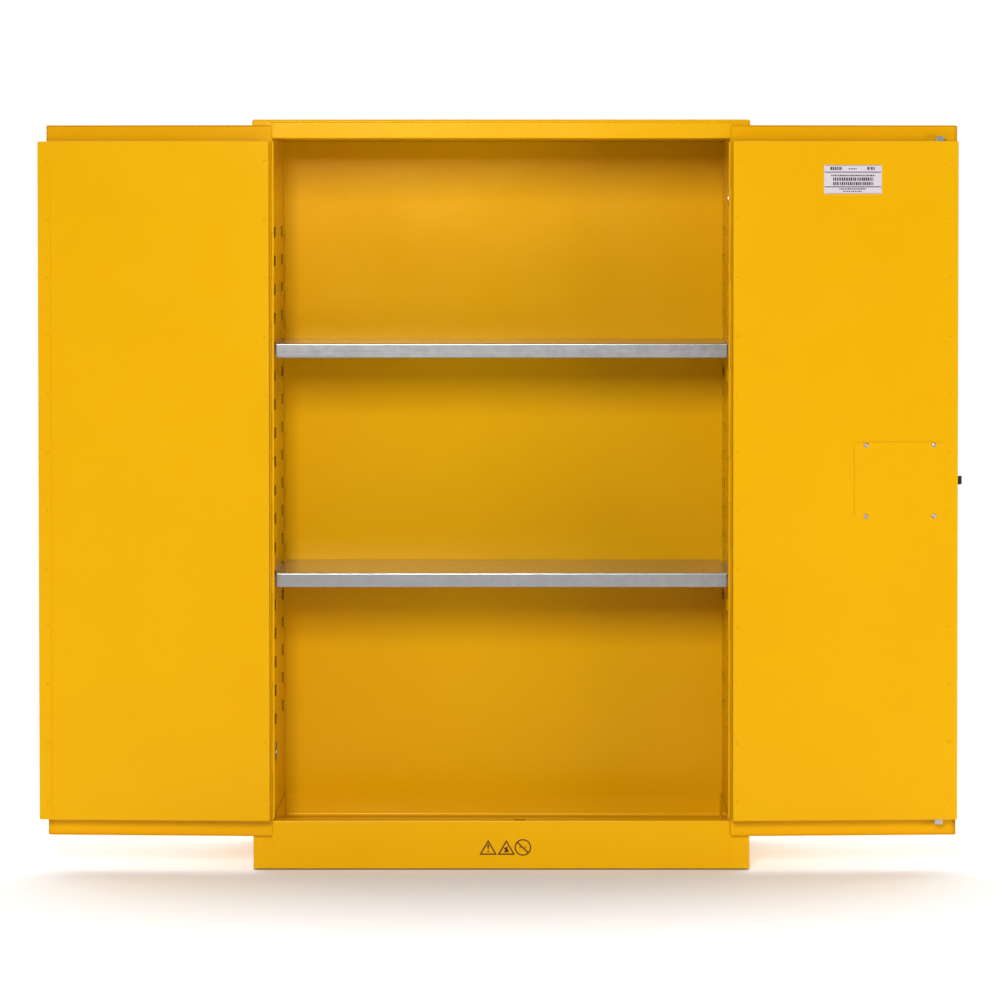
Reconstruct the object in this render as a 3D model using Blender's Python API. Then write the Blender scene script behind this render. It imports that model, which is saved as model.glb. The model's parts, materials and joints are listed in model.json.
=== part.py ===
"""Double-walled two-door safety cabinet, shown with both doors swung fully open.

Lengths are in metres, +Z is up and the front faces -Y. The origin is on the floor, in the
middle of the cabinet's box. A place inside the cabinet is given as x, depth behind the front
plane, and z. A place on a door is given as u, the distance from its hinge axis, w, the depth
behind that axis when the door is shut, and z.
"""
import math

import bmesh
import bpy
from mathutils import Matrix

# Driving dimensions: the outside of the cabinet and its sheet metal.
WIDTH = 1.0922
DEPTH = 0.4572
HEIGHT = 1.651
SHEET = 0.0012
BEND = 0.0024
GAP = 0.0003
THROUGH = 0.01
SMALL_STEPS = 12
MEDIUM_STEPS = 16
ROUND_STEPS = 24
SKIRT_Z = 0.003

# The opening in the front, and the walls around the inside.
JAMB_X = 0.5015
JAMB_RETURN = 0.025
OPENING_LOW = 0.109
OPENING_HIGH = 1.609
HEADER_LIP = 0.032
SILL_LIP = 0.040
SILL_DROP = 0.024
LID_FLANGE = 0.006
LID_BEND = 0.005
HEADER_DEPTH = 0.018
REAR_FLANGE = 0.015
INNER_BACK = 0.419
BACK_PANEL = 0.4545
BOTTOM_Z = 0.012

# The spill sump in the bottom; its front rim is lower, so that it clears the sill's lip.
SUMP_FLOOR = 0.060
SUMP_RIM = 0.1145
SUMP_FRONT_RIM = 0.105
SUMP_BEND = 0.008
SUMP_START = SILL_LIP + 0.002
SUMP_END = INNER_BACK - 0.001

# Slots in the side walls and the shelves that hang on them.
SLOT_COUNT = 18
SLOT_PITCH = 0.0634
SLOT_FIRST_Z = 0.3255
SLOT_WIDTH = 0.014
SLOT_HEIGHT = 0.025
SLOT_DEPTHS = (0.060, 0.320)
LANCE_WIDTH = 0.007
LANCE_PROUD = 0.0038
LANCE_WEB = 0.0012
SHELF_SLOTS = {"upper_shelf": 13, "lower_shelf": 5}
SHELF_ABOVE_SLOT = 0.0083
SHELF_HALF = 0.4972
SHELF_FRONT = 0.050
SHELF_BACK = 0.415
SHELF_FACE = 0.032
SHELF_LIP = 0.010
CLIP_SHEET = 0.0015
CLIP_LEDGE = 0.014
CLIP_HALF_WIDTH = 0.006
CLIP_FRONT_DROP = 0.016
CLIP_REAR_DROP = 0.020
CLIP_HOOK = 0.006

# Hinges: the pins stand in front of the frame, just inside the opening.
HINGE_X = 0.501
HINGE_PROUD = 0.007
BARREL_R = 0.003
BORE_R = 0.0019
PIN_R = 0.0014
LEAF = 0.0011
LEAF_START = 0.0035
LEAF_DEPTH = 0.0285
FRAME_LEAF_X = -0.0002
FRAME_LEAF_REACH = 0.0023
DOOR_LEAF_X = 0.0020
DOOR_LEAF_REACH = 0.0010
HINGE_INSET = 0.002
KNUCKLES = 15
OPEN_ANGLE = math.radians(183)

# Doors.
LEFT_DOOR_REACH = 0.4975
RIGHT_DOOR_REACH = 0.500
PANEL_START = 0.004
PANEL_FACE = -0.003
PANEL_FLANGE = 0.0085
PANEL_LOW = 0.076
PANEL_HIGH = 1.638
PAN_START = 0.0036
PAN_RIM = 0.0005
PAN_FACE = 0.042
PAN_LOW = 0.114
PAN_HIGH = 1.603
STRIP_START = 0.484
STRIP_REACH = 0.511
STRIP_SHEET = 0.0016
STRIP_INSET = 0.001
STRIP_CHAMFER = (0.002, 0.002)
LABEL_U = (0.202, 0.329)
LABEL_Z = (1.4875, 1.5505)
LABEL_THICK = 0.0006

# Latch: two rods and a bolt, drawn in by a paddle in a recessed cup.
LATCH_Z = 0.8595
ROD_U = 0.4595
ROD_W = 0.022
ROD_R = 0.005
ROD_HIGH = 1.614
ROD_LOW = 0.102
ROD_CLEAR = 0.028
ROD_TAPER = 0.0015
ROD_HEAD_HALF = (0.009, 0.0055)
ROD_HEAD = 0.024
ROD_HEAD_CHAMFER = 0.002
ROD_SLOT_HALF = (0.010, 0.0065)
STRIKE_HALF = (0.012, 0.009, 0.005)
GUIDE_HALF_WIDTH = 0.013
GUIDE_HALF_HEIGHT = 0.008
GUIDE_START = 0.014
GUIDE_INSET = 0.050
GUIDE_BORE = ROD_R + 0.0005
BASE_PLATE_U = (ROD_U - 0.024, ROD_U + 0.026)
BASE_PLATE_HALF = 0.050
STUD_FOOT = -0.0005
STUD_PROFILE = ((0, STUD_FOOT), (0.007, STUD_FOOT), (0.007, 0.0087), (0.0035, 0.0087),
                (0.0035, 0.0145), (0, 0.0145))
CAM_W = (0.0095, 0.0125)
CAM_BORE = 0.0040
CAM_HUB = 0.011
CAM_EAR = 0.005
CAM_REACH = 0.019
BOLT_OUTLINE = ((0.474, 0.016), (0.510, 0.016), (0.510, 0.018), (0.501, 0.031), (0.474, 0.031))
BOLT_HALF = 0.0092
BOLT_HOLE_W = (0.014, 0.034)
BOLT_HOLE_HALF = 0.012
CUP_U = 0.380
CUP_Z = 0.852
CUP_HALF_U = 0.048
CUP_HALF_Z = 0.072
CUP_RIM = 0.008
CUP_FLOOR = 0.022
CUP_WALL = 0.002
CUP_FLANGE = 0.002
PADDLE_PIVOT = (0.004, 0.910)
PADDLE_BOSS = 0.004
PADDLE_PLAY = 0.001
PADDLE_OUTLINE = ((-0.0070, 0.002), (-0.0075, -0.084), (-0.0055, -0.088), (-0.0030, -0.088),
                  (-0.0022, -0.080), (-0.0030, -0.012))
TRUNNION_R = 0.0022
TRUNNION_HOLE = 0.0028
LOCK_Z = CUP_Z - CUP_HALF_Z - CUP_RIM - 0.020
LOCK_HOLE = 0.009
LOCK_BARREL = 0.0085
LOCK_BEZEL = 0.011
LOCK_FACE = -0.012
LOCK_TAIL = 0.020
KEY_SLOT_HALF = (0.0008, 0.004)
KEY_SLOT_END = -0.006
COVER_U = 0.3705
COVER_Z = 0.860
COVER_SCREW_U = 0.0745
COVER_SCREW_Z = 0.078
COVER_MARGIN_U = 0.0255
COVER_MARGIN_Z = 0.0065
COVER_SHEET = 0.0015
COVER_CORNER = 0.004
ACCESS_HALF = (0.060, 0.064)
SCREW_R = 0.002
SCREW_HOLE = 0.0025
SCREW_LENGTH = 0.008
SCREW_HEAD = ((0.0052, 0), (0.0052, 0.0012), (0.0038, 0.0028), (0, 0.0032))

# Vents through both walls: a low one on the left, a high one on the right.
VENT_DEPTH = 0.095
VENT_LOW_Z = 0.250
VENT_HIGH_Z = 1.480
VENT_BORE = 0.024
VENT_TUBE = 0.028
VENT_FLANGE = (0.036, 0.003)
SCREEN_X = (0.512, 0.516)
CAP_PROFILE = ((0.030, 0.0033), (0.030, 0.012), (0.028, 0.014), (0.012, 0.014), (0.011, 0.022),
               (0, 0.022))
CAP_PLUG = -0.008
CAP_BAR_X = (0.012, 0.020)
CAP_BAR_HALF = (0.022, 0.004)

# Levelling feet, and the earthing screw low on the left side.
FOOT_X = 0.490
FOOT_DEPTHS = (("front", 0.060), ("rear", 0.400))
FOOT_PROFILE = ((0, 0), (0.018, 0), (0.019, 0.001), (0.019, 0.004), (0.010, 0.007),
                (0.005, 0.007), (0.005, 0.0117), (0, 0.0117))
EARTH_PLACE = (0, 0.400, 0.060)
EARTH_PROFILE = ((0, 0), (0.008, 0), (0.008, 0.0015), (0.0055, 0.0015), (0.0055, 0.006),
                 (0, 0.006))

SLOT_Z = [SLOT_FIRST_Z + SLOT_PITCH * index for index in range(SLOT_COUNT)]
# At rest the open doors' inner faces are the foremost thing, so the box reaches this far forward.
FRONT_REACH = HINGE_PROUD + PAN_FACE * math.cos(OPEN_ANGLE - math.pi)
FRONT_Y = (FRONT_REACH - DEPTH) / 2
HINGE_Y = FRONT_Y - HINGE_PROUD


def make_material(name, colour, roughness, metallic):
    material = bpy.data.materials.new(name)
    material.use_nodes = True
    shader = material.node_tree.nodes["Principled BSDF"]
    shader.inputs["Base Color"].default_value = (*colour, 1)
    shader.inputs["Roughness"].default_value = roughness
    shader.inputs["Metallic"].default_value = metallic
    return material


def add_object(name, mesh, material, parent=None):
    """Puts a closed bmesh in the scene as one named object."""
    bmesh.ops.recalc_face_normals(mesh, faces=mesh.faces)
    data = bpy.data.meshes.new(name)
    mesh.to_mesh(data)
    mesh.free()
    if material:
        data.materials.append(material)
    piece = bpy.data.objects.new(name, data)
    piece.parent = parent
    bpy.context.collection.objects.link(piece)
    return piece


def make_pivot(name, place, turn_z=0.0, parent=None):
    pivot = bpy.data.objects.new(name, None)
    pivot.location = place
    pivot.rotation_euler = (0, 0, turn_z)
    pivot.parent = parent
    bpy.context.collection.objects.link(pivot)
    return pivot


def box_mesh(low, high):
    low, high = [min(a, b) for a, b in zip(low, high)], [max(a, b) for a, b in zip(low, high)]
    size = [b - a for a, b in zip(low, high)]
    middle = [(a + b) / 2 for a, b in zip(low, high)]
    mesh = bmesh.new()
    place = Matrix.Translation(middle) @ Matrix.Diagonal((*size, 1))
    bmesh.ops.create_cube(mesh, size=1, matrix=place)
    return mesh


def prism_mesh(outline, axis, start, end):
    """Extrudes a closed outline along X, Y or Z; the outline holds the other two coordinates."""
    mesh = bmesh.new()
    order = {"X": (2, 0, 1), "Y": (0, 2, 1), "Z": (0, 1, 2)}[axis]
    rings = []
    for along in (start, end):
        ring = []
        for first, second in outline:
            values = (first, second, along)
            ring.append(mesh.verts.new([values[index] for index in order]))
        rings.append(ring)
    mesh.faces.new(rings[0])
    mesh.faces.new(rings[1])
    count = len(outline)
    for index in range(count):
        after = (index + 1) % count
        mesh.faces.new((rings[0][index], rings[0][after], rings[1][after], rings[1][index]))
    return mesh


def bent_sheet(corners, thickness=SHEET, radius=BEND, steps=3):
    """The outline of a folded sheet whose middle line runs through the corners."""
    line = []
    last = len(corners) - 1
    for index, corner in enumerate(corners):
        if index in (0, last):
            other = corners[1] if index == 0 else corners[last - 1]
            sign = 1 if index == 0 else -1
            along = unit(sign * (other[0] - corner[0]), sign * (other[1] - corner[1]))
            line.append((corner, (-along[1], along[0])))
            continue
        into = unit(corner[0] - corners[index - 1][0], corner[1] - corners[index - 1][1])
        out = unit(corners[index + 1][0] - corner[0], corners[index + 1][1] - corner[1])
        turn = math.copysign(1, into[0] * out[1] - into[1] * out[0])
        centre = (corner[0] + radius * (out[0] - into[0]), corner[1] + radius * (out[1] - into[1]))
        for step in range(steps + 1):
            part = step / steps * math.pi / 2
            spoke = (into[0] * math.sin(part) - out[0] * math.cos(part),
                     into[1] * math.sin(part) - out[1] * math.cos(part))
            point = (centre[0] + radius * spoke[0], centre[1] + radius * spoke[1])
            line.append((point, (-turn * spoke[0], -turn * spoke[1])))
    half = thickness / 2
    left = [(p[0] + n[0] * half, p[1] + n[1] * half) for p, n in line]
    right = [(p[0] - n[0] * half, p[1] - n[1] * half) for p, n in line]
    return left + right[::-1]


def unit(a, b):
    length = math.hypot(a, b)
    return a / length, b / length


def turned_mesh(profile, axis, centre, steps=MEDIUM_STEPS):
    """Turns a closed profile of (radius, along) points about an axis; radius 0 closes an end."""
    mesh = bmesh.new()
    rings = []
    for radius, along in profile:
        count = 1 if radius == 0 else steps
        ring = []
        for step in range(count):
            angle = 2 * math.pi * (step + 0.5) / steps
            flat = (radius * math.cos(angle), radius * math.sin(angle))
            place = {"X": (along, *flat), "Y": (flat[0], along, flat[1]), "Z": (*flat, along)}[axis]
            ring.append(mesh.verts.new([a + b for a, b in zip(place, centre)]))
        rings.append(ring)
    closed = profile[0][0] != 0
    pairs = list(zip(rings, rings[1:])) + ([(rings[-1], rings[0])] if closed else [])
    for first, second in pairs:
        for step in range(steps):
            after = (step + 1) % steps
            corners = [first[step % len(first)], first[after % len(first)],
                       second[after % len(second)], second[step % len(second)]]
            mesh.faces.new(list(dict.fromkeys(corners)))
    return mesh


def rod_profile(radius, start, end):
    """The profile of a plain rod for turned_mesh."""
    return [(0, start), (radius, start), (radius, end), (0, end)]


def tray_mesh(low, high, open_sides, radius, steps=3):
    """An open box of zero thickness with rounded edges; open_sides name faces such as '+Z'."""
    mesh = box_mesh(low, high)
    gone = []
    for face in mesh.faces:
        face.normal_update()
        for side in open_sides:
            way = "XYZ".index(side[1])
            if face.normal[way] * (1 if side[0] == "+" else -1) > 0.9:
                gone.append(face)
    bmesh.ops.delete(mesh, geom=gone, context="FACES")
    inner = [edge for edge in mesh.edges if len(edge.link_faces) == 2]
    bmesh.ops.bevel(mesh, geom=inner, offset=radius, segments=steps, profile=0.5,
                    affect="EDGES", clamp_overlap=True)
    return mesh


def add_tray(name, low, high, open_sides, material, parent=None, radius=0.003):
    piece = add_object(name, tray_mesh(low, high, open_sides, radius), material, parent)
    orient_outwards(piece, low, high)
    wall = piece.modifiers.new("Wall", "SOLIDIFY")
    wall.thickness = SHEET
    wall.offset = -1
    wall.use_even_offset = True
    return piece


def orient_outwards(piece, low, high):
    """Makes an open tray's faces point away from its middle, so its wall grows inwards."""
    middle = [(a + b) / 2 for a, b in zip(low, high)]
    mesh = bmesh.new()
    mesh.from_mesh(piece.data)
    biggest = max(mesh.faces, key=lambda face: face.calc_area())
    away = sum((c - m) * n for c, m, n in zip(biggest.calc_center_median(), middle, biggest.normal))
    if away < 0:
        bmesh.ops.reverse_faces(mesh, faces=mesh.faces)
    mesh.to_mesh(piece.data)
    mesh.free()


def cut(piece, cutter, operation="DIFFERENCE"):
    """Cuts one piece with a hidden cutter, or joins the cutter to it."""
    cutter.hide_render = True
    cutter.display_type = "WIRE"
    change = piece.modifiers.new(cutter.name, "BOOLEAN")
    change.operation = operation
    change.solver = "EXACT"
    change.object = cutter


def smooth(piece, angle=40):
    piece.data.shade_smooth()
    piece.data.set_sharp_from_angle(angle=math.radians(angle))


def inside(x, depth, z):
    """World place of a point given as x, depth behind the front plane, and z."""
    return x, FRONT_Y + depth, z


def inside_box(name, x, depth, z, material, parent=None):
    mesh = box_mesh(inside(x[0], depth[0], z[0]), inside(x[1], depth[1], z[1]))
    return add_object(name, mesh, material, parent)


# ---------------------------------------------------------------- cabinet shell

def build_outer_shell(yellow):
    for name, side in (("left_outer_side", -1), ("right_outer_side", 1)):
        build_outer_side(name, side, yellow)
    back_half = WIDTH / 2 - SHEET - BEND
    inside_box("outer_back_panel", (-back_half, back_half),
               (BACK_PANEL, BACK_PANEL + SHEET), (SKIRT_Z + GAP, HEIGHT - LID_FLANGE - 2 * GAP),
               yellow)
    add_tray("outer_top_panel", inside(-WIDTH / 2, 0, HEIGHT - LID_FLANGE),
             inside(WIDTH / 2, DEPTH, HEIGHT), ["-Z"], yellow, radius=LID_BEND)
    inside_box("outer_bottom_panel", (-back_half, back_half),
               (JAMB_RETURN + 2 * GAP, BACK_PANEL - GAP), (BOTTOM_Z, BOTTOM_Z + SHEET), yellow)
    build_header(yellow)
    build_sill(yellow)


def build_outer_side(name, side, yellow):
    """One side sheet, folded round the stile to the jamb in front and to a flange behind."""
    half = SHEET / 2
    wall = side * (WIDTH / 2 - half)
    jamb = side * (JAMB_X + half)
    rear = DEPTH - half
    path = [(jamb, JAMB_RETURN), (jamb, half), (wall, half), (wall, rear),
            (wall - side * REAR_FLANGE, rear)]
    outline = [(x, FRONT_Y + depth) for x, depth in bent_sheet(path)]
    top = HEIGHT - LID_FLANGE - GAP
    piece = add_object(name, prism_mesh(outline, "Z", SKIRT_Z, top), yellow)
    drill_vent(piece, side)
    smooth(piece)


def build_header(yellow):
    half = SHEET / 2
    top = HEIGHT - LID_FLANGE - GAP - half
    path = [(HEADER_DEPTH, top), (half, top), (half, OPENING_HIGH + half),
            (HEADER_LIP, OPENING_HIGH + half)]
    outline = [(FRONT_Y + depth, z) for depth, z in bent_sheet(path)]
    reach = JAMB_X - GAP
    piece = add_object("header_rail", prism_mesh(outline, "X", -reach, reach), yellow)
    cut(piece, strike_cutter("header_strike_cutter", OPENING_HIGH))
    smooth(piece)


def build_sill(yellow):
    half = SHEET / 2
    top = OPENING_LOW - half
    path = [(half, SKIRT_Z), (half, top), (SILL_LIP - half, top), (SILL_LIP - half, top - SILL_DROP)]
    outline = [(FRONT_Y + depth, z) for depth, z in bent_sheet(path)]
    reach = JAMB_X - GAP
    piece = add_object("base_sill", prism_mesh(outline, "X", -reach, reach), yellow)
    cut(piece, strike_cutter("sill_strike_cutter", OPENING_LOW))
    smooth(piece)


def strike_cutter(name, z):
    """The slot that a latch rod enters when the right door is shut."""
    x = HINGE_X - ROD_U
    depth = ROD_W - HINGE_PROUD
    along, across, up = STRIKE_HALF
    low = inside(x - along, depth - across, z - up)
    high = inside(x + along, depth + across, z + up)
    return add_object(name, box_mesh(low, high), None)


def build_lining(yellow):
    """The inner walls, ceiling and sump that line the inside."""
    build_slotted_wall("left_inner_wall", -1, yellow)
    build_slotted_wall("right_inner_wall", 1, yellow)
    reach = JAMB_X + SHEET
    inside_box("inner_back_wall", (-reach, reach), (INNER_BACK, INNER_BACK + SHEET),
               (BOTTOM_Z + 0.008, OPENING_HIGH - GAP), yellow)
    inside_box("inner_ceiling", (-reach, reach), (HEADER_LIP + 2 * GAP, INNER_BACK + SHEET),
               (OPENING_HIGH, OPENING_HIGH + SHEET), yellow)
    sump_half = JAMB_X - 2 * GAP
    tray = add_tray("sump_tray", inside(-sump_half, SUMP_START, SUMP_FLOOR - SHEET),
                    inside(sump_half, SUMP_END, SUMP_RIM), ["+Z"], yellow, radius=SUMP_BEND)
    notch = inside_box("sump_front_cutter", (-sump_half - SHEET, sump_half + SHEET),
                       (SUMP_START - SHEET, SUMP_START + SUMP_BEND),
                       (SUMP_FRONT_RIM, SUMP_RIM + SHEET), None)
    cut(tray, notch)


def build_slotted_wall(name, side, yellow):
    """A side wall on a grid of cells; behind each slot a lanced strip stands proud of it.

    Across its thickness the wall has three layers: the sheet itself, the space under a lanced
    strip, and the strip. A cell fills some of them, and faces part filled from empty.
    """
    depths = [JAMB_RETURN + GAP]
    for column in SLOT_DEPTHS:
        edge = column + SLOT_WIDTH / 2
        depths += [column - SLOT_WIDTH / 2, edge, edge + LANCE_WIDTH,
                   edge + LANCE_WIDTH + LANCE_WEB]
    depths.append(INNER_BACK - 2 * GAP)
    heights = [SUMP_FLOOR]
    for z in SLOT_Z:
        half = SLOT_HEIGHT / 2
        heights += [z - half, z - half + LANCE_WEB, z + half - LANCE_WEB, z + half]
    heights.append(OPENING_HIGH - GAP)
    levels = [-SHEET, 0.0, LANCE_PROUD - SHEET, LANCE_PROUD]
    hole, strip, web = 1, 2, 3
    mesh = bmesh.new()
    made = {}

    def corner(i, j, k):
        key = (i, j, k)
        if key not in made:
            x = side * (JAMB_X - levels[k])
            made[key] = mesh.verts.new(inside(x, depths[i], heights[j]))
        return made[key]

    def filled(i, j, k):
        if not (0 <= i < len(depths) - 1 and 0 <= j < len(heights) - 1 and 0 <= k < 3):
            return False
        across, up = i % 4, j % 4
        if across == 0 or up == 0:
            return k == 0
        if across == hole:
            return False
        if across == strip and up == 2:
            return k == 2
        return across in (strip, web)

    for i in range(len(depths) - 1):
        for j in range(len(heights) - 1):
            for k in range(3):
                if not filled(i, j, k):
                    continue
                cell = (i, j, k)
                for way in range(3):
                    for step in (0, 1):
                        beside = list(cell)
                        beside[way] += 2 * step - 1
                        if filled(*beside):
                            continue
                        first, second = [axis for axis in range(3) if axis != way]
                        ring = []
                        for a, b in ((0, 0), (1, 0), (1, 1), (0, 1)):
                            place = list(cell)
                            place[way] += step
                            place[first] += a
                            place[second] += b
                            ring.append(corner(*place))
                        mesh.faces.new(ring)
    piece = add_object(name, mesh, yellow)
    drill_vent(piece, side)


def drill_vent(piece, side):
    z = VENT_LOW_Z if side < 0 else VENT_HIGH_Z
    middle = inside(side * WIDTH / 2, VENT_DEPTH, z)
    radius = VENT_TUBE + GAP
    through = WIDTH / 2 - JAMB_X + 0.015
    cutter = turned_mesh(rod_profile(radius, -through, through), "X", middle, ROUND_STEPS)
    cut(piece, add_object(piece.name + "_vent_cutter", cutter, None))


# ---------------------------------------------------------------- vents, feet, earth screw

def build_vents(zinc, black):
    for name, side, z in (("lower", -1, VENT_LOW_Z), ("upper", 1, VENT_HIGH_Z)):
        face = WIDTH / 2
        place = inside(0, VENT_DEPTH, z)
        flange_r, flange_x = VENT_FLANGE
        collar = [(VENT_BORE, JAMB_X + GAP), (VENT_TUBE, JAMB_X + GAP),
                  (VENT_TUBE, face + GAP), (flange_r, face + GAP), (flange_r, face + flange_x),
                  (VENT_BORE, face + flange_x)]
        add_round(name + "_vent_collar", collar, side, place, zinc)
        screen_r = VENT_BORE - GAP
        screen = rod_profile(screen_r, *SCREEN_X)
        add_round(name + "_flame_arrester", screen, side, place, zinc)
        pivot = make_pivot(name + "_cap_axis", inside(side * face, VENT_DEPTH, z))
        cap = [(0, CAP_PLUG), (screen_r, CAP_PLUG), (screen_r, CAP_PROFILE[0][1]), *CAP_PROFILE]
        piece = add_round(name + "_vent_cap", cap, side, (0, 0, 0), black, pivot)
        half_y, half_z = CAP_BAR_HALF
        bar = box_mesh((side * CAP_BAR_X[0], -half_y, -half_z),
                       (side * CAP_BAR_X[1], half_y, half_z))
        cut(piece, add_object(name + "_cap_bar", bar, None, pivot), "UNION")


def add_round(name, profile, side, place, material, parent=None):
    points = [(radius, side * along) for radius, along in profile]
    piece = add_object(name, turned_mesh(points, "X", place, ROUND_STEPS), material, parent)
    smooth(piece)
    return piece


def build_feet(zinc, black):
    for front, depth in FOOT_DEPTHS:
        for hand, side in (("left", -1), ("right", 1)):
            pivot = make_pivot(f"{front}_{hand}_foot_axis", inside(side * FOOT_X, depth, 0))
            foot = turned_mesh(FOOT_PROFILE, "Z", (0, 0, 0))
            smooth(add_object(f"{front}_{hand}_foot", foot, black, pivot))
    face = WIDTH / 2 + GAP
    points = [(radius, -along - face) for radius, along in EARTH_PROFILE]
    screw = turned_mesh(points, "X", inside(*EARTH_PLACE), SMALL_STEPS)
    add_object("ground_screw", screw, zinc)


# ---------------------------------------------------------------- shelves

def build_shelves(galvanised):
    for name, slot in SHELF_SLOTS.items():
        top = SLOT_Z[slot] + SHELF_ABOVE_SLOT
        half = SHEET / 2
        path = [(SHELF_FRONT + SHELF_LIP, top - SHELF_FACE + half),
                (SHELF_FRONT + half, top - SHELF_FACE + half), (SHELF_FRONT + half, top - half),
                (SHELF_BACK - half, top - half), (SHELF_BACK - half, top - SHELF_FACE + half),
                (SHELF_BACK - SHELF_LIP, top - SHELF_FACE + half)]
        pivot = make_pivot(name + "_seat", inside(0, SHELF_FRONT, top))
        outline = [(depth - SHELF_FRONT, z - top) for depth, z in bent_sheet(path)]
        shelf = prism_mesh(outline, "X", -SHELF_HALF, SHELF_HALF)
        smooth(add_object(name, shelf, galvanised, pivot))
        for side, hand in ((-1, "left"), (1, "right")):
            for column, place in zip(SLOT_DEPTHS, ("front", "rear")):
                bracket = f"{name}_bracket_{hand}_{place}"
                build_bracket(bracket, side, column, SLOT_Z[slot], top, galvanised)


def build_bracket(name, side, column, slot_z, shelf_top, galvanised):
    """A folded clip: hooked over a slot's lower edge, with a ledge under the shelf's top."""
    ledge = shelf_top - SHEET - GAP - slot_z
    plate = CLIP_SHEET
    low = -SLOT_HEIGHT / 2 + GAP
    hook = low + CLIP_HOOK
    behind = -SHEET - GAP
    outline = [(GAP, -CLIP_FRONT_DROP), (GAP + plate, -CLIP_FRONT_DROP),
               (GAP + plate, ledge - plate), (CLIP_LEDGE, ledge - plate), (CLIP_LEDGE, ledge),
               (GAP, ledge), (GAP, hook), (behind - plate, hook),
               (behind - plate, -CLIP_REAR_DROP), (behind, -CLIP_REAR_DROP),
               (behind, low), (GAP, low)]
    points = [(side * (JAMB_X - inward), slot_z + z) for inward, z in outline]
    start = FRONT_Y + column - CLIP_HALF_WIDTH
    end = FRONT_Y + column + CLIP_HALF_WIDTH
    add_object(name, prism_mesh(points, "Y", start, end), galvanised)


# ---------------------------------------------------------------- hinges

def comb_outline(first, reach, low, high):
    """A leaf's outline: fingers reach out to every second knuckle, starting from the first."""
    pitch = (high - low) / KNUCKLES
    outline = [(LEAF_DEPTH, low), (LEAF_DEPTH, high)]
    for index in range(KNUCKLES - 1, -1, -1):
        finger = index % 2 == first
        trim = GAP if finger else -GAP
        front = reach if finger else LEAF_START
        top = high if index == KNUCKLES - 1 else low + pitch * (index + 1) - trim
        bottom = low if index == 0 else low + pitch * index + trim
        outline += [(front, top), (front, bottom)]
    return outline


def build_hinge(hand, side, pivot, yellow):
    """A piano hinge: a leaf on the jamb, a leaf on the door and the pin between them."""
    low, high = PAN_LOW + HINGE_INSET, PAN_HIGH - HINGE_INSET
    pitch = (high - low) / KNUCKLES
    leaves = ((f"{hand}_hinge_frame_leaf", 0, FRAME_LEAF_X, FRAME_LEAF_REACH),
              (f"{hand}_hinge_door_leaf", 1, DOOR_LEAF_X, DOOR_LEAF_REACH))
    for name, first, start_x, reach in leaves:
        on_door = first == 1
        origin = (0, 0) if on_door else (side * -HINGE_X, HINGE_Y)
        comb = [(origin[1] + w, z) for w, z in comb_outline(first, reach, low, high)]
        x = [origin[0] + side * value for value in (start_x, start_x + LEAF)]
        parent = pivot if on_door else None
        leaf = add_object(name, prism_mesh(comb, "X", *x), yellow, parent)
        barrels = bmesh.new()
        for index in range(first, KNUCKLES, 2):
            start, end = low + pitch * index + GAP, low + pitch * (index + 1) - GAP
            ring = [(BORE_R, start), (BARREL_R, start), (BARREL_R, end), (BORE_R, end)]
            tube = turned_mesh(ring, "Z", (*origin, 0), SMALL_STEPS)
            data = bpy.data.meshes.new("knuckle")
            bmesh.ops.recalc_face_normals(tube, faces=tube.faces)
            tube.to_mesh(data)
            tube.free()
            barrels.from_mesh(data)
        cut(leaf, add_object(name + "_barrels", barrels, None, parent), "UNION")
    pin = rod_profile(PIN_R, low - HINGE_INSET, high + HINGE_INSET)
    pin = turned_mesh(pin, "Z", (side * -HINGE_X, HINGE_Y, 0), SMALL_STEPS)
    add_object(f"{hand}_hinge_pin", pin, yellow)


# ---------------------------------------------------------------- doors

def door_box(name, side, u, w, z, material, pivot):
    mesh = box_mesh((side * u[0], w[0], z[0]), (side * u[1], w[1], z[1]))
    return add_object(name, mesh, material, pivot)


def build_door(hand, side, door_reach, pivot, yellow):
    """The outer panel with its returned edges, and the deep inner pan behind it."""
    open_side = "-X" if side > 0 else "+X"
    low = (side * PANEL_START, PANEL_FACE, PANEL_LOW)
    high = (side * door_reach, PANEL_FACE + PANEL_FLANGE, PANEL_HIGH)
    panel = add_tray(f"{hand}_door_outer_panel", low, high, ["+Y", open_side], yellow, pivot)
    reach = door_reach - SHEET - GAP
    low = (side * PAN_START, PAN_RIM, PAN_LOW)
    high = (side * reach, PAN_FACE, PAN_HIGH)
    pan = add_tray(f"{hand}_door_inner_pan", low, high, ["-Y"], yellow, pivot)
    bolt = door_box(f"{hand}_bolt_cutter", side, (reach - THROUGH, reach + THROUGH),
                    BOLT_HOLE_W, (LATCH_Z - BOLT_HOLE_HALF, LATCH_Z + BOLT_HOLE_HALF),
                    None, pivot)
    cut(pan, bolt)
    return panel, pan


def build_left_door(pivot, yellow):
    build_door("left", 1, LEFT_DOOR_REACH, pivot, yellow)
    across, along = STRIP_CHAMFER
    low, high = PAN_LOW + STRIP_INSET, PAN_HIGH - STRIP_INSET
    outline = [(STRIP_START, low), (STRIP_REACH - across, low), (STRIP_REACH, low + along),
               (STRIP_REACH, high - along), (STRIP_REACH - across, high), (STRIP_START, high)]
    start = PAN_FACE + GAP
    strip = prism_mesh(outline, "Y", start, start + STRIP_SHEET)
    add_object("meeting_strip", strip, yellow, pivot)


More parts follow.
